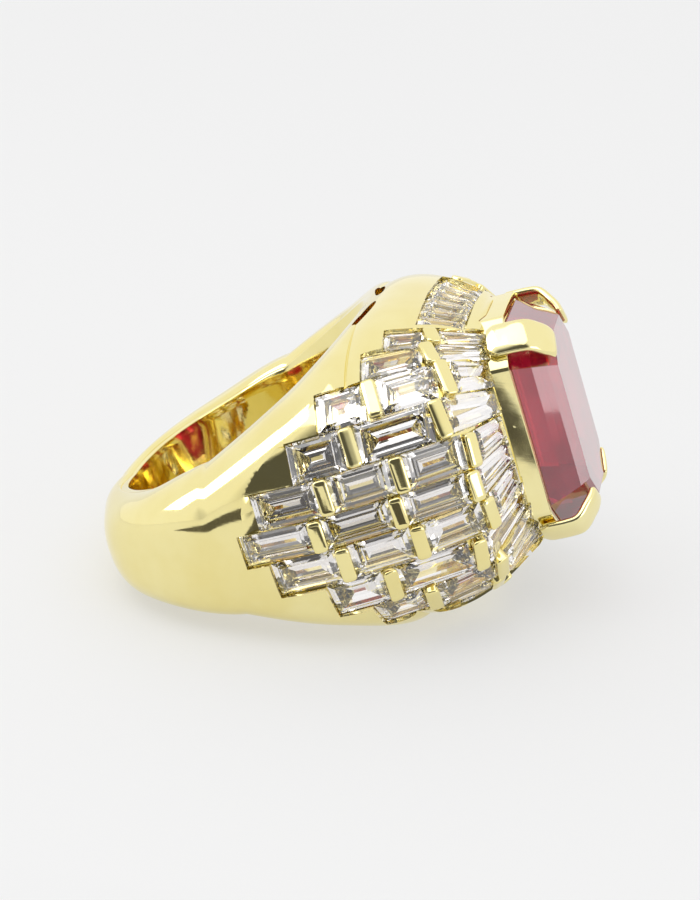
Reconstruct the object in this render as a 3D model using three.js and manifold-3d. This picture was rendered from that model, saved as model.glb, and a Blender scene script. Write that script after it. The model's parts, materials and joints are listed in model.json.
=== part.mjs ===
// Gold cocktail ring: a D-section shank that flares into a hollow bombe head, covered with baguette stones
// in staggered rows, and a large elongated red stone in a collet with four claws.
//
// Millimetres. The ring is drawn in its own frame (x from the back of the shank to the red stone, z along the
// finger, y across) and then laid on its side as it rests on a table: origin on the table below the middle of
// its box.

import * as THREE from 'three';
import { mergeVertices } from 'three/addons/utils/BufferGeometryUtils.js';
import Module from 'manifold-3d';

const wasm = await Module();
wasm.setup();

// ---------------------------------------------------------------- driving dimensions
const FINGER_RADIUS = 8.5;          // inside of the shank

// Shank stations: angle round the finger from the red stone, outer radius, half width at the widest, half
// width at the edge of the finger hole, height of the widest place above the finger, and exponent of the
// superellipse.
const SHANK = [
  { angle: 180, reach: 10.3, half: 2.1, rim: 1.95, widest: 0.5, power: 2.0 },
  { angle: 150, reach: 10.7, half: 2.55, rim: 2.4, widest: 0.7, power: 2.2 },
  { angle: 120, reach: 12.6, half: 3.2, rim: 3.05, widest: 1.0, power: 2.5 },
  { angle: 90, reach: 13.15, half: 4.5, rim: 4.1, widest: 1.2, power: 2.8 },
];
// Head stations: height along x, reach across the finger, half width along the finger.
const HEAD = [
  { height: 0, reach: 13.15, half: 4.5 },
  { height: 5, reach: 13.35, half: 6.8 },
  { height: 10, reach: 12.3, half: 9.15 },
  { height: 13, reach: 11.4, half: 8.45 },
  { height: 15, reach: 10.0, half: 7.3 },
  { height: 15.9, reach: 5.3, half: 7.05 },
];
const HEAD_POWER = 2.6;             // exponent of the head's section, reached at POWER_HEIGHT
const POWER_HEIGHT = 10;
const RIM_SLOPE = 0.5;              // how fast the hole's edge widens with height over the head
const LAND = 0.45;                  // flat round the edge of the finger hole

// Edges of the baguette rows, measured over the surface from the middle of the long side.
const ROW_EDGES = [0.96, 3.1, 5.45, 7.85, 10.05, 11.9];
const QUARTER = 18.6;               // from the middle of the long side to the middle of the end
const ROWS_TO_END = 7;              // rows from the middle of the long side to the middle of the end
const WALL = 0.05;                  // metal on each side of a row, as a part of the row
const BAR = 0.72;                   // metal bar between two stones of a row
const POCKET_DEPTH = 1.25;
const GAP = 0.06;                   // clearance of every stone in its pocket
const GRIP = 0.42;                  // part of a bar's width on each side that the neighbouring stones leave free
const CROWN = 0.1;                  // height of a baguette's top above its corners on the head
const GIRDLE = { top: -0.12, bottom: -0.3 };
const TAPER = { top: -0.3, bottom: -0.35 };         // how far a baguette is drawn in at its top and bottom
const AZURE = { low: -3.85, high: -1.05, shrinkLow: -0.62, shrinkHigh: -0.5 };      // opening behind a stone
// Where the bars of each row cross, as heights along x; the first number is where the row starts.
const COURSES = [
  { row: 0, stops: [1.5, 5.95, 10.45, 14.6] },
  { row: 1, stops: [2.8, 6.9, 11.05, 14.9] },
  { row: 2, stops: [5.4, 8.85, 13.7] },
  { row: 3, stops: [7.3, 10.35, 14.2] },
  { row: 4, stops: [9.8, 13.45] },
  { row: 5, stops: [11.0, 13.5] },
];
// The courses next to the collet, one body on each long side and on each end: rows they span, steps, where they
// stop (0 at the shank, 1 at the collet), depth below the surface at the shank and at the collet.
const INNER_COURSE = { from: -5.4, to: 5.4, steps: 27, end: 0.97, low: -0.75, lowEnd: -0.5 };
const END_COURSE = { from: 5.62, to: 8.38, steps: 12, end: 0.79, low: -0.7, lowEnd: -0.2 };
const END_COURSE_START = 12.7;
const COURSE_TOP = 0.08;
const COURSE_GAP = 0.1;             // clearance of a course in its pocket
const POCKET_TOP = 0.9;             // how far the pockets reach above the surface

const COLLET = { length: 13.8, width: 9.9, cut: 2.4, wall: 0.45, bottom: 13.4, top: 17.0 };
const STONE = { length: 12.8, width: 8.9, cut: 2.2, girdle: 16.9, step: 18.1, table: 19.4, culet: 12.4 };
const CLAW = { width: 2.0, thickness: 0.57 };
const SLOT = { radius: 9.35, height: 0.45, length: 3.3, angle: 14, depth: 5, middle: 8 };

// ---------------------------------------------------------------- materials
const gold = new THREE.MeshStandardMaterial({ color: 0xe8cf72, roughness: 0.12, metalness: 1 });
const paleGold = new THREE.MeshStandardMaterial({ color: 0xefdc8c, roughness: 0.16, metalness: 1 });
const gem = { roughness: 0.02, metalness: 0, transparent: true };
const clear = new THREE.MeshStandardMaterial({ ...gem, color: 0xf2f0ee, opacity: 0.35 });
const red = new THREE.MeshStandardMaterial({ ...gem, color: 0x9c1228, opacity: 0.6 });

// ---------------------------------------------------------------- the ring's outer surface
function smooth(k) {
  const t = Math.min(1, Math.max(0, k));
  return t * t * (3 - 2 * t);
}
const headStations = HEAD.map((h) => new THREE.Vector3(h.height, h.reach, h.half));
const headCurve = new THREE.CatmullRomCurve3(headStations, false, 'centripetal');
const HALVINGS = 40;                // steps of a search by halving
// The station of the head at a given height along x, as the curve's own parameter.
function atHeight(height) {
  let [low, high] = [0, 1];
  for (let i = 0; i < HALVINGS; i += 1) {
    const middle = (low + high) / 2;
    if (headCurve.getPointAt(middle).x < height) low = middle;
    else high = middle;
  }
  return (low + high) / 2;
}

// The outline of a quarter section, as [along finger, across finger] points: from the middle of the long side
// over the widest place, then drawn in to the flat round the finger hole.
function quarter(half, reach, floor, power, steps = 40) {
  const points = [];
  for (let i = 0; i <= steps; i += 1) {
    const t = (i / steps) * Math.PI / 2;
    const across = floor + (reach - floor) * Math.cos(t) ** (2 / power);
    points.push([half * Math.sin(t) ** (2 / power), across]);
  }
  return points;
}
const FULLNESS = 0.55;              // how full the curve is between the widest place and the hole's edge
function drawnIn(half, floor, rim, edge, steps = 6) {
  const points = [];
  const bend = floor - FULLNESS * (floor - edge);
  for (let i = 1; i <= steps; i += 1) {
    const t = i / steps;
    const across = (1 - t) ** 2 * floor + 2 * t * (1 - t) * bend + t * t * edge;
    points.push([(1 - t * t) * half + t * t * rim, across]);
  }
  return points;
}
const between = (p, q) => Math.hypot(q[0] - p[0], q[1] - p[1]);
const lengthOf = (points) => points.slice(1).reduce((sum, p, i) => sum + between(points[i], p), 0);
function walk(points, distance) {
  let left = distance;
  for (let i = 1; i < points.length; i += 1) {
    const [a, b] = [points[i - 1], points[i]];
    const step = between(a, b);
    if (left <= step || i === points.length - 1) {
      const k = left / step;
      return [a[0] + k * (b[0] - a[0]), a[1] + k * (b[1] - a[1])];
    }
    left -= step;
  }
  return points[points.length - 1];
}
function headSection(u) {
  const { x: height, y: reach, z: half } = headCurve.getPointAt(u);
  const shoulder = SHANK[SHANK.length - 1];
  const open = FINGER_RADIUS + LAND;                      // no section above this height meets the finger hole
  const chord = height < open ? Math.sqrt(1 - (height / open) ** 2) : 0;
  const floor = (FINGER_RADIUS + shoulder.widest) * chord;
  const power = shoulder.power + (HEAD_POWER - shoulder.power) * smooth(height / POWER_HEIGHT);
  const outer = quarter(half, reach, floor, power);
  if (height >= FINGER_RADIUS) {
    return { height, points: outer, whole: floor > 0 ? [...outer, [half, 0]] : outer };
  }
  const hole = Math.sqrt(FINGER_RADIUS ** 2 - height ** 2);
  const rim = Math.min(half, shoulder.rim + RIM_SLOPE * height);
  const edge = Math.min(floor, hole + LAND);
  return { height, points: outer, whole: [...outer, ...drawnIn(half, floor, rim, edge), [rim, 0]] };
}
const CREST_HEIGHT = 14.2;          // beyond the crest the rows are drawn together with the section
const CREST = atHeight(CREST_HEIGHT);
const crestQuarter = lengthOf(headSection(CREST).points);
const STRAIGHT = 3.5;               // rows up to this one keep their width
const edgeTable = [[0, 0], ...ROW_EDGES.map((edge, i) => [i + 0.5, edge]), [ROWS_TO_END, QUARTER]];
function rowDistance(side) {
  const i = Math.max(1, edgeTable.findIndex(([row]) => row >= Math.min(side, ROWS_TO_END)));
  const [[r0, d0], [r1, d1]] = [edgeTable[i - 1], edgeTable[i]];
  return d0 + (d1 - d0) * (side - r0) / (r1 - r0);
}

// A point of the head's surface: u along the rows (0 at the shank, 1 at the collet), row across them.
function onHead(u, row) {
  const { height, points } = headSection(u);
  const total = lengthOf(points);
  const kept = u > CREST ? crestQuarter : total;
  const straight = ROW_EDGES[STRAIGHT - 0.5];
  const side = Math.abs(row);
  const plain = rowDistance(side);
  const drawn = straight + (plain - straight) * (kept - straight) / (QUARTER - straight);
  const distance = (side <= STRAIGHT ? plain : drawn) * total / kept;
  const beyond = distance > total;
  const [along, across] = walk(points, beyond ? 2 * total - distance : distance);
  return new THREE.Vector3(height, beyond ? across : -across, Math.sign(row || 1) * along);
}
function normalOnHead(u, row) {
  const du = 0.004;
  const dr = 0.05;
  const a = onHead(Math.min(1, u + du), row).sub(onHead(Math.max(0, u - du), row));
  const b = onHead(u, row + dr).sub(onHead(u, row - dr));
  return a.cross(b).normalize();
}

// ---------------------------------------------------------------- solids
// A closed mesh from rings of points (each ring closed on itself), with the first and last ring capped.
function loft(rings) {
  const n = rings[0].length;
  const positions = [];
  rings.forEach((ring) => ring.forEach((p) => positions.push(p.x, p.y, p.z)));
  const index = [];
  for (let r = 0; r < rings.length - 1; r += 1) {
    for (let i = 0; i < n; i += 1) {
      const a = r * n + i;
      const b = r * n + (i + 1) % n;
      index.push(a, b, b + n, a, b + n, a + n);
    }
  }
  [0, rings.length - 1].forEach((r) => {
    const centre = rings[r].reduce((sum, p) => sum.add(p), new THREE.Vector3()).divideScalar(n);
    const c = positions.length / 3;
    positions.push(centre.x, centre.y, centre.z);
    for (let i = 0; i < n; i += 1) {
      const a = r * n + i;
      const b = r * n + (i + 1) % n;
      index.push(...(r === 0 ? [c, b, a] : [c, a, b]));
    }
  });
  const geometry = new THREE.BufferGeometry();
  geometry.setAttribute('position', new THREE.Float32BufferAttribute(positions, 3));
  geometry.setIndex(index);
  return geometry;
}
function signedVolume(geometry) {
  const p = geometry.attributes.position;
  const index = geometry.index.array;
  const corner = (i) => new THREE.Vector3().fromBufferAttribute(p, index[i]);
  let sum = 0;
  for (let i = 0; i < index.length; i += 3) {
    sum += corner(i).dot(corner(i + 1).cross(corner(i + 2))) / 6;
  }
  return sum;
}
function outward(geometry) {
  if (signedVolume(geometry) < 0) {
    const index = geometry.index.array;
    for (let i = 0; i < index.length; i += 3) [index[i], index[i + 1]] = [index[i + 1], index[i]];
  }
  return geometry;
}
function solid(source) {
  const geometry = source.clone();
  geometry.deleteAttribute('normal');
  geometry.deleteAttribute('uv');
  const merged = outward(mergeVertices(geometry, 1e-5));
  return new wasm.Manifold(new wasm.Mesh({
    numProp: 3,
    vertProperties: new Float32Array(merged.attributes.position.array),
    triVerts: new Uint32Array(merged.index.array),
  }));
}
function geometryOf(manifold) {
  const mesh = manifold.getMesh();
  const geometry = new THREE.BufferGeometry();
  geometry.setAttribute('position', new THREE.Float32BufferAttribute(mesh.vertProperties, 3));
  geometry.setIndex(Array.from(mesh.triVerts));
  return geometry;
}

const ring = new THREE.Group();
function add(name, geometry, material) {
  const mesh = new THREE.Mesh(geometry, material);
  mesh.name = name;
  ring.add(mesh);
  return mesh;
}

// ---------------------------------------------------------------- shank
// Half a turn of D sections round the finger, from one shoulder through the back to the other.
const SHANK_STEPS = 36;
const SHANK_POINTS = 9;             // steps of half a section
const SHANK_LAND = 0.2;             // least height from the flat round the hole to the widest place
const shankCurves = ['reach', 'half', 'rim', 'widest', 'power'].map((key) => new THREE.SplineCurve(
  SHANK.map((station) => new THREE.Vector2(station.angle, station[key])),
));
function shankSection(angle) {
  const folded = angle > 180 ? 360 - angle : angle;
  const [reach, half, rim, widest, power] = shankCurves.map((curve) => curve.getPoint((180 - folded) / 90).y);
  const floor = FINGER_RADIUS + widest;
  const edge = FINGER_RADIUS + Math.min(LAND, widest - SHANK_LAND);
  const outer = [...quarter(half, reach, floor, power), ...drawnIn(half, floor, rim, edge), [rim, FINGER_RADIUS]];
  const total = lengthOf(outer);
  const section = [];
  for (let i = -SHANK_POINTS; i <= SHANK_POINTS; i += 1) {
    const [along, radius] = walk(outer, total * Math.abs(i) / SHANK_POINTS);
    section.push([i < 0 ? -along : along, radius]);
  }
  const radians = THREE.MathUtils.degToRad(angle);
  const [cosine, sine] = [Math.cos(radians), Math.sin(radians)];
  return section.map(([along, radius]) => new THREE.Vector3(radius * cosine, -radius * sine, along));
}
const shankRings = [];
for (let i = 0; i <= SHANK_STEPS; i += 1) shankRings.push(shankSection(90 + 180 * i / SHANK_STEPS));
add('shank', outward(loft(shankRings)), gold);

// ---------------------------------------------------------------- head shell
const HEAD_STEPS = 15;
const HEAD_POINTS = 11;             // points of a quarter section
const SEAM = 0.03;                  // clearance at the solder seam to the shank
function closedSection(height, points) {
  const total = lengthOf(points);
  const steps = Array.from({ length: HEAD_POINTS + 1 }, (_, i) => walk(points, total * i / HEAD_POINTS));
  const forward = steps.slice(0, HEAD_POINTS);
  const backward = steps.slice(1).reverse();
  return [
    ...forward.map(([z, y]) => new THREE.Vector3(height, -y, z)),
    ...backward.map(([z, y]) => new THREE.Vector3(height, y, z)),
    ...forward.map(([z, y]) => new THREE.Vector3(height, y, -z)),
    ...backward.map(([z, y]) => new THREE.Vector3(height, -y, -z)),
  ];
}
// Beside the finger hole the two halves of a section are joined straight across it; the hole is cut afterwards.
const headRings = [];
for (let i = 0; i <= HEAD_STEPS; i += 1) {
  const u = i / HEAD_STEPS;
  const { height, whole } = headSection(u);
  headRings.push(closedSection(i === 0 ? SEAM : height, whole));
}
let head = solid(loft(headRings));

const HOLE_LENGTH = 24;
const fingerHole = new THREE.CylinderGeometry(FINGER_RADIUS, FINGER_RADIUS, HOLE_LENGTH, 2 * SHANK_STEPS);
head = head.subtract(solid(fingerHole.rotateX(Math.PI / 2)));

// The hollow under the dome, open to the finger.
const HOLLOW = [
  { height: 3.0, reach: 9.8, half: 2.6 },
  { height: 5.5, reach: 11.6, half: 3.9 },
  { height: 8.5, reach: 11.2, half: 5.9 },
  { height: 11.0, reach: 10.2, half: 6.9 },
  { height: 13.2, reach: 8.0, half: 6.6 },
];
const HOLLOW_POWER = 3;
const hollowRings = HOLLOW.map((h) => closedSection(h.height, quarter(h.half, h.reach, 0, HOLLOW_POWER)));
head = head.subtract(solid(loft(hollowRings)));

// The eight-sided outlines of the red stone and its collet, in the plane across x.
function octagon(height, length, width, cut) {
  const l = length / 2;
  const w = width / 2;
  const half = [[w - cut, l], [w, l - cut], [w, -l + cut], [w - cut, -l]];
  return [...half, ...half.map(([y, z]) => [-y, -z])].map(([y, z]) => new THREE.Vector3(height, y, z));
}
const COLLET_SEAM = 0.05;           // clearance of the collet in the head
const BELOW_COLLET = 1.5;           // the opening goes on below the collet into the hollow
const recess = (height) => octagon(
  height,
  COLLET.length + 2 * COLLET_SEAM,
  COLLET.width + 2 * COLLET_SEAM,
  COLLET.cut + 0.6 * COLLET_SEAM,
);
head = head.subtract(solid(loft([recess(COLLET.bottom - BELOW_COLLET), recess(COLLET.top + 1)])));

// Two narrow slots through each side wall, following the finger hole.
[1, -1].forEach((end) => [1, -1].forEach((side) => {
  const slot = new THREE.BoxGeometry(SLOT.height, SLOT.length, SLOT.depth)
    .translate(SLOT.radius, 0, end * SLOT.middle)
    .rotateZ(side * THREE.MathUtils.degToRad(SLOT.angle));
  head = head.subtract(solid(slot));
}));

// ---------------------------------------------------------------- baguettes and their pockets
const mirrorY = (p) => new THREE.Vector3(p.x, -p.y, p.z);
const FLATTEN = 0.6;                // how far a stone's four corners are brought into one plane, 1 is fully
// A patch of the head's surface as a ring of corners, moved along the normal and grown or shrunk sideways.
function patchRing(u0, u1, r0, r1, lift, grow, far) {
  const corners = [[u0, r0], [u1, r0], [u1, r1], [u0, r1]];
  const points = corners.map(([u, r]) => onHead(u, r));
  const middle = points.reduce((sum, p) => sum.add(p), new THREE.Vector3()).divideScalar(4);
  const normal = normalOnHead((u0 + u1) / 2, (r0 + r1) / 2);
  const along = points[1].clone().add(points[2]).sub(points[0]).sub(points[3]).normalize();
  const across = points[2].clone().add(points[3]).sub(points[0]).sub(points[1]).normalize();
  const signs = [[-1, -1], [1, -1], [1, 1], [-1, 1]];
  return points.map((p, i) => {
    const flat = p.clone().sub(middle);
    flat.addScaledVector(normal, -FLATTEN * flat.dot(normal)).add(middle);
    const moved = flat.addScaledVector(normal, lift)
      .addScaledVector(along, signs[i][0] * grow).addScaledVector(across, signs[i][1] * grow);
    return far ? mirrorY(moved) : moved;
  });
}
const baguettes = [];
const pockets = [];
COURSES.forEach(({ row, stops }) => {
  (row === 0 ? [0] : [row, -row]).forEach((r) => [false, true].forEach((far) => {
    stops.slice(1).forEach((stop, i) => {
      const from = i === 0 ? atHeight(stops[0]) : atHeight(stops[i] + BAR * GRIP);
      const to = atHeight(stop - BAR * GRIP);
      const place = r === 0 ? 'middle' : `${r > 0 ? 'upper' : 'lower'}_${Math.abs(r)}`;
      const ring4 = (lift, grow) => patchRing(from, to, r - 0.5 + WALL, r + 0.5 - WALL, lift, grow, far);
      baguettes.push({
        name: `baguette_${far ? 'far' : 'near'}_${place}_${'abc'[i]}`,
        rings: [
          ring4(-POCKET_DEPTH + CROWN, TAPER.bottom),
          ring4(GIRDLE.bottom, 0),
          ring4(GIRDLE.top, 0),
          ring4(CROWN, TAPER.top),
        ],
      });
      pockets.push([ring4(-POCKET_DEPTH, GAP), ring4(POCKET_TOP, GAP + 0.05)]);
      pockets.push([ring4(AZURE.low, AZURE.shrinkLow), ring4(AZURE.high, AZURE.shrinkHigh)]);
    });
  }));
});

// One course next to the collet as a curved slab; start gives where it begins on each row. With a shrink of 0 it
// is the pocket, which is deeper and open at the top.
const SLAB_END_GAP = 0.045;         // end clearance, as a part of the head's length per mm of shrink
const ROW_EPSILON = 0.01;
function courseSlab({ from, to, steps, end, low, lowEnd }, start, shrink) {
  const [depth, high] = shrink > 0 ? [0, COURSE_TOP] : [COURSE_GAP, POCKET_TOP];
  const slab = [];
  for (let i = 0; i <= steps; i += 1) {
    const row = from + (to - from) * i / steps;
    const r = row + ((i === 0 ? shrink : 0) - (i === steps ? shrink : 0)) / 2;
    const inside = Math.min(Math.max(row, from + ROW_EPSILON), to - ROW_EPSILON);
    const uStart = start(inside) + shrink * SLAB_END_GAP;
    const uEnd = end - shrink * SLAB_END_GAP;
    const uMiddle = (uStart + uEnd) / 2;
    const bottom = [[uStart, low - depth], [uEnd, lowEnd - depth]];
    const outline = [...bottom, [uEnd, high], [uMiddle, high], [uStart, high]];
    slab.push(outline.map(([u, lift]) => onHead(u, r).addScaledVector(normalOnHead(u, r), lift)));
  }
  return slab;
}
const LAST_ROW = COURSES.length - 1;
function lastStop(row) {
  const course = COURSES.find((c) => c.row === Math.min(LAST_ROW, Math.round(Math.abs(row))));
  return atHeight(course.stops[course.stops.length - 1] + BAR * GRIP);
}
[false, true].forEach((far) => {
  const flip = (slab) => slab.map((ring5) => ring5.map((p) => (far ? mirrorY(p) : p)));
  baguettes.push({
    name: `inner_course_${far ? 'far' : 'near'}_side`,
    rings: flip(courseSlab(INNER_COURSE, lastStop, COURSE_GAP)),
  });
  pockets.push(flip(courseSlab(INNER_COURSE, lastStop, 0)));
});
const endStart = () => atHeight(END_COURSE_START);
[1, -1].forEach((end) => {
  const reach = (slab) => slab.map((ring5) => ring5.map((p) => new THREE.Vector3(p.x, p.y, end * p.z)));
  baguettes.push({
    name: `end_course_${end > 0 ? 'upper' : 'lower'}`,
    rings: reach(courseSlab(END_COURSE, endStart, COURSE_GAP)),
  });
  pockets.push(reach(courseSlab(END_COURSE, endStart, 0)));
});
pockets.forEach((rings) => { head = head.subtract(solid(loft(rings))); });
const parts = head.decompose().sort((a, b) => b.volume() - a.volume());
add('head_shell', geometryOf(parts[0]), gold);
baguettes.forEach(({ name, rings }) => add(name, outward(loft(rings)), clear));

// ---------------------------------------------------------------- collet and its seat
function tube(outerLow, outerHigh, innerLow, innerHigh) {
  const rings = [outerLow, outerHigh, innerHigh, innerLow];
  const n = outerLow.length;
  const positions = rings.flatMap((ring) => ring.flatMap((p) => [p.x, p.y, p.z]));
  const index = [];
  for (let r = 0; r < 4; r += 1) {
    for (let i = 0; i < n; i += 1) {
      const next = (i + 1) % n;
      const above = ((r + 1) % 4) * n;
      index.push(r * n + i, r * n + next, above + next, r * n + i, above + next, above + i);
    }
  }
  const geometry = new THREE.BufferGeometry();
  geometry.setAttribute('position', new THREE.Float32BufferAttribute(positions, 3));
  geometry.setIndex(index);
  return outward(geometry);
}
const CUT_SHARE = 0.59;             // a wall takes this part of its thickness off the cut of the corners inside it
const colletOutline = (height, move) => octagon(
  height,
  COLLET.length - 2 * move,
  COLLET.width - 2 * move,
  COLLET.cut - CUT_SHARE * move,
);
add('collet', tube(
  colletOutline(COLLET.bottom, 0),
  colletOutline(COLLET.top, 0),
  colletOutline(COLLET.bottom, COLLET.wall),
  colletOutline(COLLET.top, COLLET.wall),
), paleGold);
const SEAT = { bottom: 15.5, top: 16.1, ledge: 0.45, seam: 0.04, ledgeCut: 0.2 };
const seatOutline = (height, ledge, cut) => octagon(
  height,
  COLLET.length - 2 * (COLLET.wall + SEAT.seam + ledge),
  COLLET.width - 2 * (COLLET.wall + SEAT.seam + ledge),
  COLLET.cut - CUT_SHARE * COLLET.wall - cut,
);
add('stone_seat', tube(
  seatOutline(SEAT.bottom, 0, 0),
  seatOutline(SEAT.top, 0, 0),
  seatOutline(SEAT.bottom, SEAT.ledge, SEAT.ledgeCut),
  seatOutline(SEAT.top, SEAT.ledge, SEAT.ledgeCut),
), gold);

// ---------------------------------------------------------------- the red stone
function stoneRing(height, inset, cut) {
  return octagon(height, STONE.length - 2 * inset, STONE.width - 2 * inset, cut);
}
add('red_stone', outward(loft([
  stoneRing(STONE.culet, 4.15, 0.25),
  stoneRing(13.6, 3.1, 0.8),
  stoneRing(15.3, 1.7, 1.5),
  stoneRing(STONE.girdle, 0, STONE.cut),
  stoneRing(STONE.girdle + 0.2, 0, STONE.cut),
  stoneRing(STONE.step, 0.4, 2.05),
  stoneRing(STONE.table, 1.3, 1.6),
])), red);

// ---------------------------------------------------------------- claws
// Profile in the plane through a corner: distance from the stone's middle along the corner, height along x.
const cornerOf = (length, width, cut) => ((length + width) / 2 - cut) / Math.SQRT2;
const colletCorner = cornerOf(COLLET.length, COLLET.width, COLLET.cut);
const girdleCorner = cornerOf(STONE.length, STONE.width, STONE.cut);
const claw = new THREE.Shape([
  [colletCorner + 0.04, 16.05],
  [colletCorner + CLAW.thickness, 16.05],
  [colletCorner + CLAW.thickness, 17.9],
  [colletCorner + 0.42, 18.55],
  [colletCorner + 0.05, 19.0],
  [girdleCorner - 0.05, 19.3],
  [girdleCorner - 0.85, 19.5],
  [girdleCorner - 1.0, 19.28],
  [girdleCorner - 0.38, 18.3],
  [girdleCorner + 0.08, 17.12],
  [colletCorner + 0.04, 17.05],
].map(([r, h]) => new THREE.Vector2(r, h)));
const middleY = (COLLET.width - COLLET.cut) / 2 - colletCorner / Math.SQRT2;
const middleZ = (COLLET.length - COLLET.cut) / 2 - colletCorner / Math.SQRT2;
const CORNERS = { near_upper: [-1, 1], near_lower: [-1, -1], far_upper: [1, 1], far_lower: [1, -1] };
Object.entries(CORNERS).forEach(([name, [ySign, zSign]]) => {
  const geometry = new THREE.ExtrudeGeometry(claw, { depth: CLAW.width, bevelEnabled: false });
  geometry.translate(0, 0, -CLAW.width / 2);
  geometry.deleteAttribute('normal');
  geometry.deleteAttribute('uv');
  const merged = mergeVertices(geometry, 1e-5);
  const p = merged.attributes.position;
  for (let i = 0; i < p.count; i += 1) {
    const [r, h, t] = [p.getX(i), p.getY(i), p.getZ(i)];
    p.setXYZ(i, h, ySign * (middleY + (r + t) / Math.SQRT2), zSign * (middleZ + (r - t) / Math.SQRT2));
  }
  add(`claw_${name}`, outward(merged), paleGold);
});

// ---------------------------------------------------------------- laid on its side
// The ring rests on the edge of the shank and the end of the head; the tilt is the one that lets both touch.
const BACK_OF_SHANK = -5;
function lowestAt(tilt) {
  ring.rotation.set(0, -tilt, 0);
  ring.position.set(0, 0, 0);
  ring.updateMatrixWorld(true);
  const point = new THREE.Vector3();
  const lowest = { shank: Infinity, head: Infinity };
  ring.children.forEach((mesh) => {
    const p = mesh.geometry.attributes.position;
    const key = mesh.name === 'shank' ? 'shank' : 'head';
    for (let i = 0; i < p.count; i += 1) {
      point.fromBufferAttribute(p, i).applyMatrix4(mesh.matrixWorld);
      if (key === 'head' || p.getX(i) <= BACK_OF_SHANK) lowest[key] = Math.min(lowest[key], point.z);
    }
  });
  return lowest;
}
let [lowTilt, highTilt] = [0, Math.PI / 4];
for (let i = 0; i < HALVINGS; i += 1) {
  const tilt = (lowTilt + highTilt) / 2;
  const lowest = lowestAt(tilt);
  if (lowest.head < lowest.shank) lowTilt = tilt;
  else highTilt = tilt;
}
ring.rotation.set(0, -(lowTilt + highTilt) / 2, 0);
const object = new THREE.Group();
object.add(ring);
object.updateMatrixWorld(true);
const box = new THREE.Box3().setFromObject(object, true);
ring.position.set(-(box.min.x + box.max.x) / 2, -(box.min.y + box.max.y) / 2, -box.min.z);

export default object;
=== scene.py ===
"""A gold cocktail ring on its side: polished shank, bombe head paved with baguettes, long red stone."""

import json
import math

import bmesh
import bpy
import numpy as np
from mathutils import Matrix, Vector


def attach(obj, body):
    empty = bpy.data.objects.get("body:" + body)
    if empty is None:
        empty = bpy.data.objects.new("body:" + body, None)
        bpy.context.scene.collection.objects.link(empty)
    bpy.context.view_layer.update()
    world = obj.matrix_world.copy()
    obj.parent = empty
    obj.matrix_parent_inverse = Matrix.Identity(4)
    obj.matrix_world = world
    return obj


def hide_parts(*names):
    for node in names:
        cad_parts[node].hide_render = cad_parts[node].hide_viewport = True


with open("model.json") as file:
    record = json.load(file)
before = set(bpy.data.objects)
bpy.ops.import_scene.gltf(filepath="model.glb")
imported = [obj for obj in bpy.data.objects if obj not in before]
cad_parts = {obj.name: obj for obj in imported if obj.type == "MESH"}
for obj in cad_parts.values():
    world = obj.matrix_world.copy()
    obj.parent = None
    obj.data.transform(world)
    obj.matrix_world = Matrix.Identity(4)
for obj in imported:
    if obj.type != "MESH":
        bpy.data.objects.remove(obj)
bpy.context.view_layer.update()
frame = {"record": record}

MM = 0.001

# ---------------------------------------------------------------- driving dimensions, in millimetres
# The ring's own frame: x from the finger's middle to the red stone, z along the finger, y across (near: -y).
FINGER_RADIUS = 8.5
# The shank at equal angles, from its back to the head.
SHANK_REACH = [10.3, 10.7, 12.6, 13.15]         # outer radius
SHANK_HALF = [2.1, 2.55, 3.2, 4.5]              # half width at the widest
SHANK_RIM = [1.95, 2.4, 3.05, 4.1]              # half width at the edge of the finger hole
SHANK_WIDEST = [0.5, 0.7, 1.0, 1.2]             # height of the widest place above the finger
SHANK_POWER = [2.0, 2.2, 2.5, 2.8]              # exponent of the superellipse section
# Head stations: height along x, reach across the finger, half width along the finger.
HEAD = [(0, 13.15, 4.5), (5, 13.35, 6.8), (10, 12.3, 9.15),
        (13, 11.4, 8.45), (15, 10.0, 7.3), (15.9, 5.3, 7.05)]
HEAD_POWER, POWER_HEIGHT = 2.6, 10              # the head's exponent, reached at this height
LAND = 0.45                                     # flat round the edge of the finger hole
EDGE = 0.09                                     # rounding of the hole's edge
OPEN = FINGER_RADIUS + LAND                     # no section above this height meets the hole or its flat edge

# Distances round the surface from the middle of a side to each row's far edge, and to the middle of the end.
ROW_EDGES, QUARTER = [0.96, 3.1, 5.45, 7.85, 10.05, 11.9], 18.6
ROWS_TO_END = 7                                 # the row number at the middle of the end
STRAIGHT = 3.5                                  # rows beyond this one close up where the head narrows
CREST_HEIGHT = 14.2                             # above it the rows keep their share of the section
# Rows of the long sides: number, then the heights of the first stone's start and of the bars.
COURSES = [
    (0, [1.5, 5.95, 10.45, 14.6]),
    (1, [2.8, 6.9, 11.05, 14.9]),
    (2, [5.4, 8.85, 13.7]),
    (3, [7.3, 10.35, 14.2]),
    (4, [9.8, 13.45]),
    (5, [11.0, 13.5]),
]
END_COURSE = (12.6, 15.05)                      # heights of the stones on the ends of the head
END_ROWS = (5.62, 6.08, 6.54, 7.0, 7.46, 7.92, 8.38)
BAR = 0.72                                      # width of the bars between stones
LEDGE = -0.42                                   # top of the metal between two rows, from the polished surface
SEAM = 0.045                                    # half the metal between two rows
CLEAR_OF_SKIN = 1.3                             # how far cutters and bars' feet pass the polished surface

GIRDLE_SINK = -0.25                             # the stones' girdles, from the corners of their places
GIRDLE_GAP = 0.012
COLLET = {"length": 13.8, "width": 9.9, "cut": 2.4, "wall": 0.45, "bottom": 13.4, "top": 17.0}
STONE = {"length": 12.8, "width": 8.9, "cut": 2.2}
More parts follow.
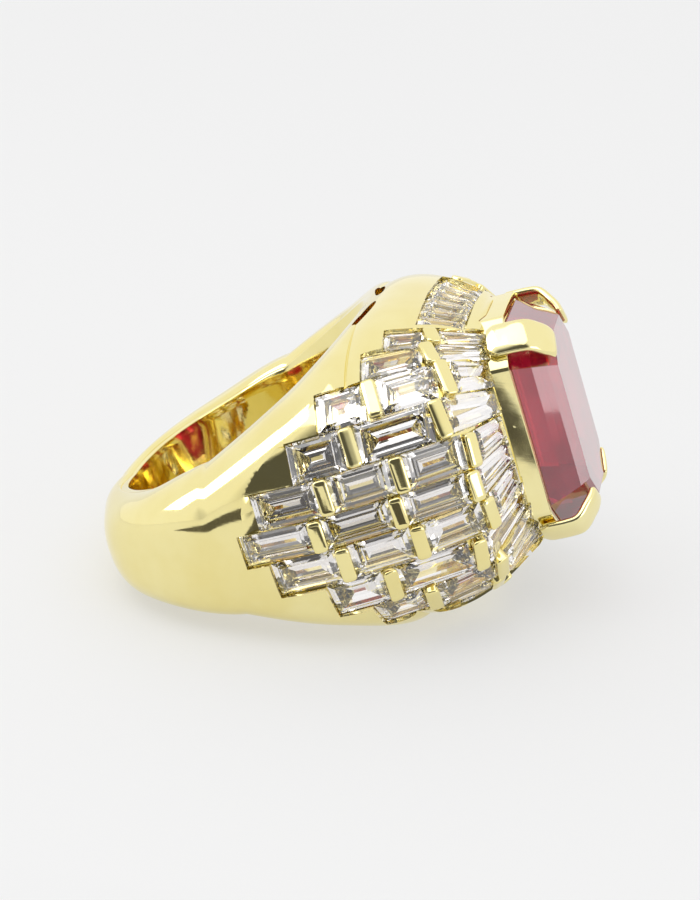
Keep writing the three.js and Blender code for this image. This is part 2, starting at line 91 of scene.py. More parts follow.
# Rings of the red stone from its keel to its table: height, inset from the girdle, size of the cut corners.
STONE_RINGS = [(12.4, 4.15, 0.25), (13.4, 3.3, 0.7), (14.7, 2.2, 1.25), (15.9, 1.0, 1.8), (16.9, 0, 2.2),
               (17.04, 0, 2.2), (18.05, 0.42, 2.03), (18.85, 0.86, 1.82), (19.4, 1.3, 1.6)]
SEAT = {"bottom": 15.5, "top": 16.1, "ledge": 0.45, "gap": 0.04}
CLAW = {"width": 2.0, "thickness": 0.57}
SLOT = {"radius": 9.6, "height": 0.7, "reach": 10.0, "angle": 14.0, "from": 5.5, "to": 11}
# Stations of the hollow inside the head: height, reach across the finger, half width along it.
HOLLOW = [(3.0, 9.8, 2.6), (5.5, 11.6, 4.3), (8.5, 11.2, 7.0), (11.0, 10.2, 7.5), (13.2, 8.0, 6.6)]

# ---------------------------------------------------------------- from the ring's own frame to the table
mounts = {mount["name"]: mount for mount in frame["record"]["mounts"]}
x_axis = Vector(mounts["stone_table"]["axis"]).normalized()
z_axis = Vector(mounts["finger_hole"]["axis"]).normalized()
y_axis = z_axis.cross(x_axis)
TO_TABLE = Matrix((x_axis, y_axis, z_axis)).transposed().to_4x4()
TO_TABLE.translation = Vector(mounts["finger_hole"]["pos_m"])


# ---------------------------------------------------------------- curves and sections
def smooth(k):
    t = min(1.0, max(0.0, k))
    return t * t * (3 - 2 * t)


def uniform_spline(values, t):
    """Catmull-Rom through equally spaced values, t from 0 to 1."""
    last = len(values) - 1
    i = min(int(t * last), last - 1)
    w = t * last - i
    before, start, end, after = (values[k] for k in (max(i - 1, 0), i, i + 1, min(i + 2, last)))
    v0, v1 = (end - before) / 2, (after - start) / 2
    cubic, square = 2 * start - 2 * end + v0 + v1, -3 * start + 3 * end - 2 * v0 - v1
    return cubic * w ** 3 + square * w ** 2 + v0 * w + start


def centripetal(points, t):
    """Centripetal Catmull-Rom through points, t from 0 to 1."""
    p = np.asarray(points, float)
    last = len(p) - 1
    i = min(int(t * last), last - 1)
    w = t * last - i
    start, end = p[i], p[i + 1]
    before = p[i - 1] if i > 0 else 2 * p[0] - p[1]
    after = p[i + 2] if i + 2 <= last else 2 * p[-1] - p[-2]
    pairs = ((before, start), (start, end), (end, after))
    d0, d1, d2 = (max(np.linalg.norm(a - b), 1e-8) ** 0.5 for a, b in pairs)
    t1 = ((start - before) / d0 - (end - before) / (d0 + d1) + (end - start) / d1) * d1
    t2 = ((end - start) / d1 - (after - start) / (d1 + d2) + (after - end) / d2) * d1
    square, cubic = -3 * start + 3 * end - 2 * t1 - t2, 2 * start - 2 * end + t1 + t2
    return start + t1 * w + square * w * w + cubic * w ** 3


def lengths(points):
    """The length of a polyline up to each of its points."""
    return np.concatenate([[0], np.cumsum(np.linalg.norm(np.diff(points, axis=0), axis=1))])


def resample(points, fractions):
    """Points at these fractions of a polyline's length."""
    along = lengths(points)
    target = np.asarray(fractions) * along[-1]
    return np.stack([np.interp(target, along, points[:, k]) for k in range(points.shape[1])], axis=1)


def quarter(half, reach, floor, power, steps=240):
    """A quarter of a superellipse from (0, reach) to (half, floor), as (along, across)."""
    t = np.linspace(0, math.pi / 2, steps + 1)
    return np.stack([half * np.sin(t) ** (2 / power),
                     floor + (reach - floor) * np.clip(np.cos(t), 0, 1) ** (2 / power)], axis=1)


HEAD_STEPS = 4000
dense = np.array([centripetal(HEAD, t) for t in np.linspace(0, 1, HEAD_STEPS + 1)])
dense_length = lengths(dense)
dense_length /= dense_length[-1]


def head_at(u):
    """Height, reach and half width of the head at u, from 0 at the shank to 1 at the collet."""
    return [float(np.interp(u, dense_length, dense[:, k])) for k in range(3)]


def at_height(height):
    return float(np.interp(height, dense[:, 0], dense_length))


def head_shape(height):
    """The hole side of a head section: floor, exponent, and half width and height of the flat edge."""
    _, _, half = head_at(at_height(height))
    ring = math.sqrt(max(0.0, 1 - (height / OPEN) ** 2))
    power = SHANK_POWER[-1] + (HEAD_POWER - SHANK_POWER[-1]) * smooth(height / POWER_HEIGHT)
    rim = half - (SHANK_HALF[-1] - SHANK_RIM[-1]) * (1 - smooth(height / OPEN))
    return (FINGER_RADIUS + SHANK_WIDEST[-1]) * ring, power, rim, OPEN * ring


# ---------------------------------------------------------------- the head's surface, as a table to look up
GRID_U, GRID_S = 480, 200
surface_u = np.linspace(0, 1, GRID_U + 1)
surface = np.zeros((GRID_U + 1, GRID_S + 1, 3))
surface_total = np.zeros(GRID_U + 1)
for index, u_value in enumerate(surface_u):
    height, reach, half = head_at(u_value)
    floor, power, _, _ = head_shape(height)
    outline = quarter(half, reach, floor, power)
    surface_total[index] = lengths(outline)[-1]
    cut = resample(outline, np.linspace(0, 1, GRID_S + 1))
    surface[index] = np.stack([np.full(GRID_S + 1, height), cut[:, 1], cut[:, 0]], axis=1)

CREST = at_height(CREST_HEIGHT)
crest_total = float(np.interp(CREST, surface_u, surface_total))
EDGE_ROWS = [0] + [i + 0.5 for i in range(len(ROW_EDGES))] + [ROWS_TO_END]
EDGE_DISTANCES = [0] + ROW_EDGES + [QUARTER]
straight_distance = ROW_EDGES[int(STRAIGHT - 0.5)]


def on_head(u, row):
    """A point of the head's surface: u along the rows, row across them, beyond ROWS_TO_END round the end."""
    u = min(1.0, max(0.0, u))
    total = float(np.interp(u, surface_u, surface_total))
    kept = crest_total if u > CREST else total
    side = abs(row)
    mirrored = side > ROWS_TO_END
    plain = float(np.interp(2 * ROWS_TO_END - side if mirrored else side, EDGE_ROWS, EDGE_DISTANCES))
    if side > STRAIGHT:
        squeeze = (kept - straight_distance) / (QUARTER - straight_distance)
        plain = straight_distance + (plain - straight_distance) * squeeze
    fraction = min(plain / kept, 1.0) * GRID_S
    i, k = min(int(u * GRID_U), GRID_U - 1), min(int(fraction), GRID_S - 1)
    a, b = u * GRID_U - i, fraction - k
    point = ((1 - a) * (1 - b) * surface[i, k] + a * (1 - b) * surface[i + 1, k]
             + (1 - a) * b * surface[i, k + 1] + a * b * surface[i + 1, k + 1])
    across = point[1] if mirrored else -point[1]
    return Vector((point[0], across, math.copysign(point[2], row) if row else point[2]))


def normal_on_head(u, row, step_u=0.006, step_row=0.08):
    along = on_head(min(1, u + step_u), row) - on_head(max(0, u - step_u), row)
    across = on_head(u, row + step_row) - on_head(u, row - step_row)
    return along.cross(across).normalized()


def placed(points, far=False, end=1):
    """Points made for the near side and the upper end, moved to the far side or to the other end."""
    return [Vector((p[0], -p[1] if far else p[1], end * p[2])) for p in points]


# ---------------------------------------------------------------- mesh helpers
def make_mesh(name, vertices, faces, bend=30):
    """A clean mesh from points in the ring's frame; faces that meet below the bend angle are smooth."""
    mesh = bpy.data.meshes.new(name)
    mesh.from_pydata([tuple(v) for v in vertices], [], faces)
    work = bmesh.new()
    work.from_mesh(mesh)
    bmesh.ops.remove_doubles(work, verts=work.verts, dist=1e-5)
    bmesh.ops.recalc_face_normals(work, faces=work.faces)
    work.to_mesh(mesh)
    work.free()
    mesh.update()
    shade(mesh, bend)
    return mesh


def shade(mesh, bend):
    mesh.polygons.foreach_set("use_smooth", [True] * len(mesh.polygons))
    mesh.set_sharp_from_angle(angle=math.radians(bend))


def loft(rings, closed=True):
    """Vertices and faces of a closed solid through rings of equally many points."""
    n = len(rings[0])
    vertices = [p for ring in rings for p in ring]
    faces = []
    for r in range(len(rings) - 1):
        for i in range(n):
            a, b = r * n + i, r * n + (i + 1) % n
            faces.append((a, b, b + n, a + n))
    if closed:
        faces.append(tuple(range(n))[::-1])
        faces.append(tuple(range((len(rings) - 1) * n, len(rings) * n)))
    return vertices, faces


def joined(parts):
    """Several (vertices, faces) in one."""
    vertices, faces = [], []
    for part_vertices, part_faces in parts:
        offset = len(vertices)
        vertices.extend(part_vertices)
        faces.extend(tuple(i + offset for i in face) for face in part_faces)
    return vertices, faces


def boolean(mesh, parts, operation="DIFFERENCE", bend=30):
    """The mesh after cutting or adding the parts, which must not meet each other."""
    target = bpy.data.objects.new("target", mesh)
    tool = bpy.data.objects.new("tool", make_mesh("tool", *joined(parts)))
    for item in (target, tool):
        bpy.context.scene.collection.objects.link(item)
    modifier = target.modifiers.new("cut", "BOOLEAN")
    modifier.operation = operation
    modifier.solver = "MANIFOLD"
    modifier.object = tool
    bpy.context.view_layer.update()
    result = bpy.data.meshes.new_from_object(target.evaluated_get(bpy.context.evaluated_depsgraph_get()))
    for item in (target, tool):
        bpy.data.objects.remove(item)
    shade(result, bend)
    return result


def largest_part(mesh):
    """The mesh without the loose slivers that cuts can leave."""
    work = bmesh.new()
    work.from_mesh(mesh)
    unseen = set(work.verts)
    parts = []
    while unseen:
        part = {unseen.pop()}
        to_visit = list(part)
        while to_visit:
            vertex = to_visit.pop()
            for edge in vertex.link_edges:
                other = edge.other_vert(vertex)
                if other in unseen:
                    unseen.remove(other)
                    part.add(other)
                    to_visit.append(other)
        parts.append(part)
    parts.sort(key=len)
    bmesh.ops.delete(work, geom=[vertex for part in parts[:-1] for vertex in part], context="VERTS")
    work.to_mesh(mesh)
    work.free()
    return mesh


def piece(name, mesh, material, slot, *nodes):
    """A visible piece, from a mesh in the ring's frame in millimetres; it stands for the named CAD nodes."""
    mesh.transform(TO_TABLE @ Matrix.Scale(MM, 4))
    mesh.name = name
    mesh.materials.clear()
    mesh.materials.append(material)
    made = bpy.data.objects.new(name, mesh)
    bpy.context.scene.collection.objects.link(made)
    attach(made, "root")
    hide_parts(*nodes)


# ---------------------------------------------------------------- materials
# Noise and pit scales are per metre: 1000 gives a grain of about a millimetre.
def material_of(name):
    """A new material with its nodes, links, shader and object coordinates."""
    material = bpy.data.materials.new(name)
    material.use_nodes = True
    nodes, links = material.node_tree.nodes, material.node_tree.links
    shader = next(n for n in nodes if n.type == "BSDF_PRINCIPLED")
    return material, nodes, links, shader, nodes.new("ShaderNodeTexCoord").outputs["Object"]


def set_inputs(node, **values):
    """Sets a node's inputs; an underscore in a name stands for a space."""
    for name, value in values.items():
        node.inputs[name.replace("_", " ")].default_value = value


def noise(nodes, links, coordinates, scale, detail=2.0, roughness=0.5, stretch=None):
    node = nodes.new("ShaderNodeTexNoise")
    set_inputs(node, Scale=scale, Detail=detail, Roughness=roughness)
    if stretch:
        mapping = nodes.new("ShaderNodeMapping")
        set_inputs(mapping, Scale=stretch)
        links.new(coordinates, mapping.inputs["Vector"])
        coordinates = mapping.outputs["Vector"]
    links.new(coordinates, node.inputs["Vector"])
    return node.outputs["Fac"]


def spread(nodes, links, value, low, high, from_low=0.3, from_high=0.7):
    """The value stretched from one range to another."""
    node = nodes.new("ShaderNodeMapRange")
    set_inputs(node, From_Min=from_low, From_Max=from_high, To_Min=low, To_Max=high)
    links.new(value, node.inputs["Value"])
    return node.outputs["Result"]


def blend_colours(nodes, links, shader, factor, low, high):
    """The shader's base colour, from low to high by the factor."""
    mix = nodes.new("ShaderNodeMix")
    mix.data_type = "RGBA"
    set_inputs(mix, A=(*low, 1), B=(*high, 1))
    links.new(factor, mix.inputs["Factor"])
    links.new(mix.outputs["Result"], shader.inputs["Base Color"])


def add_bumps(nodes, links, shader, layers):
    """Bumps one over the other, each as (height, strength, distance)."""
    below = None
    for height, strength, distance in layers:
        bump = nodes.new("ShaderNodeBump")
        set_inputs(bump, Strength=strength, Distance=distance)
        links.new(height, bump.inputs["Height"])
        if below is not None:
            links.new(below, bump.inputs["Normal"])
        below = bump.outputs["Normal"]
    links.new(below, shader.inputs["Normal"])


def gold(name, light, deep, roughness):
    """Polished gold: slow changes of tone, a haze of fine polishing lines, a few casting pits."""
    material, nodes, links, shader, place = material_of(name)
    tone = noise(nodes, links, place, scale=260, detail=3, roughness=0.55)
    blend_colours(nodes, links, shader, spread(nodes, links, tone, 0.15, 1.0), deep, light)
    shader.inputs["Metallic"].default_value = 1.0
    haze = noise(nodes, links, place, scale=900, detail=4, roughness=0.6, stretch=(1.0, 0.25, 1.0))
    links.new(spread(nodes, links, haze, roughness * 0.6, roughness * 1.7), shader.inputs["Roughness"])
    ripple = noise(nodes, links, place, scale=330, detail=1, roughness=0.4)
    lines = noise(nodes, links, place, scale=5200, stretch=(0.15, 1.0, 1.0))
    pits = nodes.new("ShaderNodeTexVoronoi")
    pits.inputs["Scale"].default_value = 420
    links.new(place, pits.inputs["Vector"])
    pit = spread(nodes, links, pits.outputs["Distance"], 0.0, 1.0, from_low=0.0, from_high=0.055)
    layers = [(pit, 0.25, 0.04 * MM), (lines, 0.05, 0.02 * MM), (ripple, 0.10, 0.03 * MM)]
    add_bumps(nodes, links, shader, layers)
    return material


def gem(name, light, deep, index, polish_limit=0.03):
    """Cut stone: tint that changes from place to place and hairline polish."""
    material, nodes, links, shader, place = material_of(name)
    tone = noise(nodes, links, place, scale=420)
    blend_colours(nodes, links, shader, spread(nodes, links, tone, 0.0, 1.0, 0.35, 0.65), deep, light)
    set_inputs(shader, Transmission_Weight=1.0, IOR=index)
    polish = noise(nodes, links, place, scale=2500, detail=3, roughness=0.6, stretch=(0.3, 1.0, 1.0))
    links.new(spread(nodes, links, polish, 0.0, polish_limit, 0.35, 0.8), shader.inputs["Roughness"])
    add_bumps(nodes, links, shader, [(polish, 0.04, 0.01 * MM)])
    return material, nodes, links, shader


def coloured_gem(name, light, deep, index, depth_colour, density):
    """A less clear stone whose colour deepens with its thickness, under a clear polish."""
    material, nodes, links, shader = gem(name, light, deep, index)
    set_inputs(shader, Transmission_Weight=0.72, Coat_Weight=1.0, Coat_IOR=1.55, Coat_Roughness=0.05)
    volume = nodes.new("ShaderNodeVolumeAbsorption")
    set_inputs(volume, Color=(*depth_colour, 1), Density=density)
    output = next(n for n in nodes if n.type == "OUTPUT_MATERIAL")
    links.new(volume.outputs["Volume"], output.inputs["Volume"])
    return material


BAND_GOLD = gold("polished_gold", (0.93, 0.835, 0.42), (0.88, 0.76, 0.32), 0.06)
SETTING_GOLD = gold("setting_gold", (0.94, 0.86, 0.47), (0.90, 0.79, 0.36), 0.09)
CLEAR = gem("clear_stone", (1.0, 0.985, 0.98), (0.97, 0.93, 0.91), 2.2)[0]
RED = coloured_gem("red_stone", (0.72, 0.045, 0.115), (0.58, 0.022, 0.075), 1.76, (0.75, 0.10, 0.20), 90.0)

# ---------------------------------------------------------------- the gold body's skin
OUTER_STEPS, DRAWN_STEPS, LAND_STEPS, EDGE_STEPS, INNER_STEPS = 46, 8, 2, 3, 10
OUTLINE_STEPS = OUTER_STEPS + DRAWN_STEPS + LAND_STEPS + EDGE_STEPS
LEAST_DRAWN = 0.2                               # least height between the flat edge and the widest place
DRAWN_BEND = 0.55                               # where the drawn-in side turns, as a part of its height
BESIDE_HOLE_STEPS, BACK_STEPS = 55, 150         # sections beside the hole, and round the back of the shank
FIRST_ANGLE = 3.5                               # degrees from the top of the hole to the first section
LAND_LOOPS, DOME_LOOPS = 8, 90                  # loops just above the hole, and over the rest of the dome
CROWDED_FROM = 0.985                            # just above the hole, the last steps crowd in from here
EVEN_HEIGHT = 2.5                               # height above OPEN at which all steps are even


def side_outline(half, reach, floor, power, rim, edge, hole, edge_round):
    """From the middle of the outside to the finger hole: superellipse, drawn in, flat edge, rounding."""
    outer = resample(quarter(half, reach, floor, power), np.linspace(0, 1, OUTER_STEPS + 1))
    t = np.linspace(0, 1, DRAWN_STEPS + 1)[1:]
    bend = floor - DRAWN_BEND * (floor - edge)
    drawn = np.stack([(1 - t * t) * half + t * t * rim,
                      (1 - t) ** 2 * floor + 2 * t * (1 - t) * bend + t * t * edge], 1)
    land = np.linspace((rim, edge), (rim, hole + edge_round), LAND_STEPS + 1)[1:]
    a = np.linspace(0, math.pi / 2, EDGE_STEPS + 1)[1:]
    rounding = np.stack([rim - edge_round * (1 - np.cos(a)), hole + edge_round * (1 - np.sin(a))], 1)
    return np.concatenate([outer, drawn, land, rounding])


def mirrored_outline(outline):
    """The whole outside, from the hole's lower edge to its upper edge, as (along, across)."""
    return np.concatenate([outline[::-1] * [-1, 1], outline[1:]])


def closed_loop(height, outline):
    """A closed section of the head at one height, from the outline of a quarter of it."""
    whole = mirrored_outline(outline)
    near = [Vector((height, -across, along)) for along, across in whole]
    far = [Vector((height, across, along)) for along, across in whole[::-1]]
    return near + far[1:-1]


def shank_outline(angle):
    folded = 360 - angle if angle > 180 else angle
    t = (180 - folded) / 90
    reach, half, rim, widest, power = (uniform_spline(values, t) for values in
                                       (SHANK_REACH, SHANK_HALF, SHANK_RIM, SHANK_WIDEST, SHANK_POWER))
    edge = FINGER_RADIUS + min(LAND, widest - LEAST_DRAWN)
    return side_outline(half, reach, FINGER_RADIUS + widest, power, rim, edge, FINGER_RADIUS, EDGE)


def band_sections():
    """Sections round the finger from the near side's top through the back to the far side's top."""
    sections = []
    near = np.concatenate([[0], np.linspace(FIRST_ANGLE, 90, BESIDE_HOLE_STEPS + 1)])
    back = np.linspace(90, 270, BACK_STEPS + 1)[1:-1]
    for angle in np.concatenate([near, back, 360 - near[::-1]]):
        radians = math.radians(angle)
        if 90 < angle < 270:
            outline = mirrored_outline(shank_outline(angle))
            spoke = Vector((math.cos(radians), -math.sin(radians), 0))
            outside = [spoke * across + Vector((0, 0, along)) for along, across in outline]
        else:
            height, hole = FINGER_RADIUS * math.cos(radians), abs(FINGER_RADIUS * math.sin(radians))
            _, reach, half = head_at(at_height(height))
            floor, power, rim, edge = head_shape(height)
            outline = mirrored_outline(side_outline(half, reach, floor, power, rim, edge, hole, EDGE))
            side = -1 if angle <= 90 else 1
            outside = [Vector((height, side * across, along)) for along, across in outline]
        start, end = outside[-1], outside[0]
        inside = [start.lerp(end, i / INNER_STEPS) for i in range(1, INNER_STEPS)]
        sections.append(outside + inside)
    return sections


def dome_loops():
    """Closed sections above the finger hole, starting as the near and far sections at its top."""
    loops = []
    crowded = np.concatenate([np.linspace(0, CROWDED_FROM, OUTER_STEPS + 1),
                              np.linspace(CROWDED_FROM, 1, OUTLINE_STEPS - OUTER_STEPS + 1)[1:]])
    even = np.linspace(0, 1, OUTLINE_STEPS + 1)
    start = math.acos(FINGER_RADIUS / OPEN)
    for k in range(1, LAND_LOOPS + 1):
        height = OPEN * math.cos(start * (1 - k / (LAND_LOOPS + 0.5)))
        _, reach, half = head_at(at_height(height))
        floor, power, rim, edge = head_shape(height)
        rounding = EDGE * max(0.02, 1 - k / 2)
        loops.append((height, side_outline(half, reach, floor, power, rim, edge, 0, rounding)))
    for u in np.linspace(at_height(OPEN + 0.02), 1, DOME_LOOPS):
        height, reach, half = head_at(u)
        floor, power, _, _ = head_shape(height)
        k = smooth((height - OPEN) / EVEN_HEIGHT)
        loops.append((height, resample(quarter(half, reach, floor, power), crowded * (1 - k) + even * k)))
    return [closed_loop(height, outline) for height, outline in loops]


def gold_skin():
    """The shank and the head's outside as one closed surface, before any cut."""
    sections = band_sections()
    n = len(sections[0])
    arc = n - (INNER_STEPS - 1)
    vertices, faces = loft(sections, closed=False)
    last = (len(sections) - 1) * n
    previous = list(range(arc)) + [last + i for i in range(arc - 2, 0, -1)]
    loops = dome_loops()
    m = len(loops[0])
    offset = len(vertices)
    vertices += [p for loop in loops for p in loop]
    for r in range(len(loops)):
        current = [offset + r * m + i for i in range(m)]
        for i in range(m):
            j = (i + 1) % m
            faces.append((previous[i], previous[j], current[j], current[i]))
        previous = current
    centre = len(vertices)
    vertices.append(Vector((HEAD[-1][0], 0, 0)))
    faces += [(previous[i], previous[(i + 1) % m], centre) for i in range(m)]
    # The first and the last section share a line at the top of the hole, where make_mesh merges them.
    return vertices, faces


# ---------------------------------------------------------------- places for the small stones
SIDE_END = 0.992                                # u where the long sides' stones end, next to the collet
COLLET_RISE = 0.3                               # lift of the inner stones' ends along the collet
END_START, END_STOP = (at_height(height) for height in END_COURSE)


def rows():
    """Every row of the long sides as (row, stops, far)."""
    for row, stops in COURSES:
        for r in ([0] if row == 0 else [row, -row]):
            for far in (False, True):
                yield r, stops, far


def row_width(row):
    low, high = sorted((abs(row) - 0.5, abs(row) + 0.5))
    inner = np.interp(low, EDGE_ROWS, EDGE_DISTANCES) if low > 0 else -ROW_EDGES[0]
    return float(np.interp(high, EDGE_ROWS, EDGE_DISTANCES) - inner)


def patch(u0, u1, r0, r1):
    return [on_head(u0, r0), on_head(u1, r0), on_head(u1, r1), on_head(u0, r1)]


def row_places(r):
    """Where the stones of one row lie, each with its letter; the last one lies next to the collet."""
    stops = dict(COURSES)[abs(r)]
    share = SEAM / row_width(r)
    starts = [at_height(stops[0] + 0.06)] + [at_height(stop + BAR / 2) for stop in stops[1:]]
    ends = [at_height(stop - BAR / 2) for stop in stops[1:]] + [SIDE_END - 0.004]
    return [(letter, (start, end, r - 0.5 + share, r + 0.5 - share))
            for letter, start, end in zip("abcd", starts, ends)]


def end_places():
    """Where the narrow stones on one end of the head lie."""
    start, stop, gap = END_START + 0.004, END_STOP - 0.006, 0.012
    return [(start, stop, low + gap, high - gap) for low, high in zip(END_ROWS, END_ROWS[1:])]


def plan_frame(corners):
    """A flat frame through four corners: middle, along, across and normal."""
    middle = sum(corners, Vector()) / 4
    normal = (corners[2] - corners[0]).cross(corners[3] - corners[1]).normalized()
    along = (corners[1] + corners[2] - corners[0] - corners[3]).normalized()
    along = (along - normal * along.dot(normal)).normalized()
    return middle, along, normal.cross(along), normal


def inset(corners, sides, ends):
    """A four-sided outline moved in: sides from the long edges, ends from the short ones."""
    lines = []
    for i, distance in enumerate([sides, ends, sides, ends]):
        a, b = np.array(corners[i]), np.array(corners[(i + 1) % 4])
        d = (b - a) / np.linalg.norm(b - a)
        lines.append((a + np.array([-d[1], d[0]]) * distance, d))
    result = []
    for i in range(4):
        (p, d), (q, e) = lines[i - 1], lines[i]
        cross = d[0] * e[1] - d[1] * e[0]
        result.append(tuple(p + d * (((q - p)[0] * e[1] - (q - p)[1] * e[0]) / cross)))
    return result


# ---------------------------------------------------------------- cuts in the gold body
def octagon(height, length, width, cut):
    """A rectangle with cut corners, square to the red stone's axis."""
    l, w = length / 2, width / 2
    corners = [(w - cut, l), (w, l - cut), (w, -l + cut), (w - cut, -l),
               (-w + cut, -l), (-w, -l + cut), (-w, l - cut), (-w + cut, l)]
    return [Vector((height, y, z)) for y, z in corners]


def hollow(steps=24, power=3):
    """The space inside the head."""
    rings = []
    for t in np.linspace(0, 1, steps + 1):
        height, reach, half = centripetal(HOLLOW, t)
        outline = resample(quarter(half, reach, 0, power), np.linspace(0, 1, steps + 1))
        rings.append(closed_loop(height, outline))
    return loft(rings)


def slot_cutter(end, side, steps=24):
    """A crescent that follows the finger hole, through one side wall."""
    outline = []
    for bulge, order in ((0.5, range(steps + 1)), (-0.5, range(steps - 1, 0, -1))):
        for step in order:
            k = step / steps * 2 - 1
            radius = SLOT["radius"] + bulge * SLOT["height"] * math.sqrt(1 - k * k)
            outline.append((radius, math.radians(side * SLOT["angle"] + k * SLOT["reach"])))
    return loft([[Vector((r * math.cos(a), r * math.sin(a), end * z)) for r, a in outline]
                 for z in (SLOT["from"], SLOT["to"])])


def channel(row_low, row_high, u_start, u_end, steps, far=False, end=1):
    """A trench down to LEDGE that follows the surface between two row lines."""
    rings = []
    for i in range(steps + 1):
        u = u_start + (u_end - u_start) * i / steps
        normal = normal_on_head(u, (row_low + row_high) / 2)
        a, b = on_head(u, row_low), on_head(u, row_high)
        rings.append(placed([a + normal * LEDGE, b + normal * LEDGE,
                             b + normal * CLEAR_OF_SKIN, a + normal * CLEAR_OF_SKIN], far, end))
    return loft(rings)


# Each ring: lift from the surface, and how far it is drawn in at the sides and at the ends.
POCKET = [(0.9, 0, 0), (GIRDLE_SINK - 0.03, 0, 0), (GIRDLE_SINK - 0.95, 0.62, 0.62)]
OPENING = [(GIRDLE_SINK - 0.8, 0.56, 0.6), (-3.4, 0.72, 0.8)]


def pocket(corners, far=False, end=1, depths=POCKET):
    """The space for one stone: straight down to its girdle, then tapering in below it."""
    middle, along, across, normal = plan_frame(corners)
    flat = [((c - middle).dot(along), (c - middle).dot(across)) for c in corners]
    rings = []
    for lift, sides, ends in depths:
        outline = inset(flat, sides, ends)
        rings.append(placed([middle + along * x + across * y + normal * lift for x, y in outline], far, end))
    return loft(rings)


# The scooped-out corner before the first stones of rows 1 and 2, in two parts: rows it spans, its outer edge
# as (row, height) pairs, and the height where the stones begin.
SCOOPS = [
    (0.52, 1.505, [(0.52, 2.0), (1.1, 2.15), (1.505, 2.5)], 2.98),
    (1.495, 2.47, [(1.495, 2.5), (1.8, 3.1), (2.15, 3.95), (2.47, 5.0)], 5.6),
]
SCOOP_DEPTH, SCOOP_TOP, SCOOP_STEPS = -0.45, 1.0, 20
SCOOP_MIDDLE = 0.68                             # share of the depth half way in


def scoop(part, far):
    low, high, edge, stones = part
    rings = []
    for row in np.linspace(low, high, SCOOP_STEPS + 1):
        height = float(np.interp(row, [p[0] for p in edge], [p[1] for p in edge]))
        outer, inner = at_height(height), at_height(stones)
        middle = (outer + inner) / 2
        section = [(outer, 0.01), (middle, SCOOP_DEPTH * SCOOP_MIDDLE), (inner, SCOOP_DEPTH),
                   (inner, SCOOP_TOP), (middle, SCOOP_TOP), (outer, SCOOP_TOP)]
        rings.append(placed([on_head(u, row) + normal_on_head(u, row) * lift for u, lift in section], far))
    return loft(rings)


# ---------------------------------------------------------------- bars between the stones
BAR_TOP, BAR_CROWN, BAR_SHRINK = 0.02, 0.15, 0.33   # height of a bar's side, its crown, the crown's narrowing
BAR_POWER, BAR_CORNER, BAR_TURNS = 0.8, 0.24, 9


def rounded_plan(half_length, half_width, radius, steps=4):
    points = []
    for sx, sy, turn in ((1, 1, 0), (-1, 1, 90), (-1, -1, 180), (1, -1, 270)):
        for i in range(steps + 1):
            a = math.radians(turn + 90 * i / steps)
            points.append((sx * (half_length - radius) + radius * math.cos(a),
                           sy * (half_width - radius) + radius * math.sin(a)))
    return points


def bar(u, r, far, du=0.01, margin=0.05):
    """A rounded bar across one row, standing proud of the stones."""
    corners = patch(u - du, u + du, r - 0.5, r + 0.5)
    middle, along, across, normal = plan_frame(corners)
    width = (corners[3] - corners[0]).length / 2 - margin
    length = BAR / 2 + margin
    turns = [math.radians(90 * i / BAR_TURNS) for i in range(BAR_TURNS + 1)]
    profile = [(-CLEAR_OF_SKIN, 0.0)] + [(BAR_TOP + BAR_CROWN * math.sin(a) ** BAR_POWER,
                                          -BAR_SHRINK * (1 - math.cos(a) ** BAR_POWER)) for a in turns]
    rings = []
    for lift, grow in profile:
        plan = rounded_plan(length + grow, width + grow, BAR_CORNER + grow * 0.6)
        rings.append(placed([middle + along * x + across * y + normal * lift for x, y in plan], far))
    return loft(rings)


# ---------------------------------------------------------------- the gold body
COLLET_GAP = 0.03                               # round the collet's sides in its recess
ROW_OVERLAP = 0.015                             # cutters pass their row's edges by this part of a row
END_OVERLAP = 0.02
ROW_STEPS, END_STEPS = 40, 16                   # sections of a channel along the sides, and on the ends


def gold_body():
    """The skin with its hollow, slots, channels, pockets, openings and scoops cut, and the bars added."""
    mesh = make_mesh("gold_body", *gold_skin())
    mesh = boolean(mesh, [hollow()])
    mesh = boolean(mesh, [slot_cutter(end, side) for end in (1, -1) for side in (1, -1)])
    length, width = COLLET["length"] + 2 * COLLET_GAP, COLLET["width"] + 2 * COLLET_GAP
    recess = [octagon(height, length, width, COLLET["cut"] + 0.02)
              for height in (COLLET["bottom"] - 1.5, COLLET["top"] + 1)]
    mesh = boolean(mesh, [loft(recess)])
    # Cutters in one boolean must not meet, so that neighbours take turns.
    reach = 0.5 + ROW_OVERLAP
    for parity in (0, 1):
        mesh = boolean(mesh, [channel(r - reach, r + reach, at_height(stops[0]), SIDE_END, ROW_STEPS, far)
                              for r, stops, far in rows() if r % 2 == parity])
    for low, high in ((END_ROWS[0], ROWS_TO_END + END_OVERLAP), (ROWS_TO_END - END_OVERLAP, END_ROWS[-1])):
        mesh = boolean(mesh, [channel(low, high, END_START, END_STOP, END_STEPS, end=end) for end in (1, -1)])
    for depths, kept in ((POCKET, slice(None)), (OPENING, slice(-1))):
        for parity in (0, 1):
            mesh = boolean(mesh, [pocket(patch(*place), far, depths=depths)
                                  for r, _, far in rows() if r % 2 == parity
                                  for _, place in row_places(r)[kept]])
    for parity in (0, 1):
        mesh = boolean(mesh, [pocket(patch(*place), end=end)
                              for end in (1, -1) for place in end_places()[parity::2]])
    for part in SCOOPS:
        mesh = boolean(mesh, [scoop(part, far) for far in (False, True)])
    bars = [bar(at_height(stop), r, far) for r, stops, far in rows() for stop in stops[1:]]
    return largest_part(boolean(mesh, bars, "UNION", bend=26))


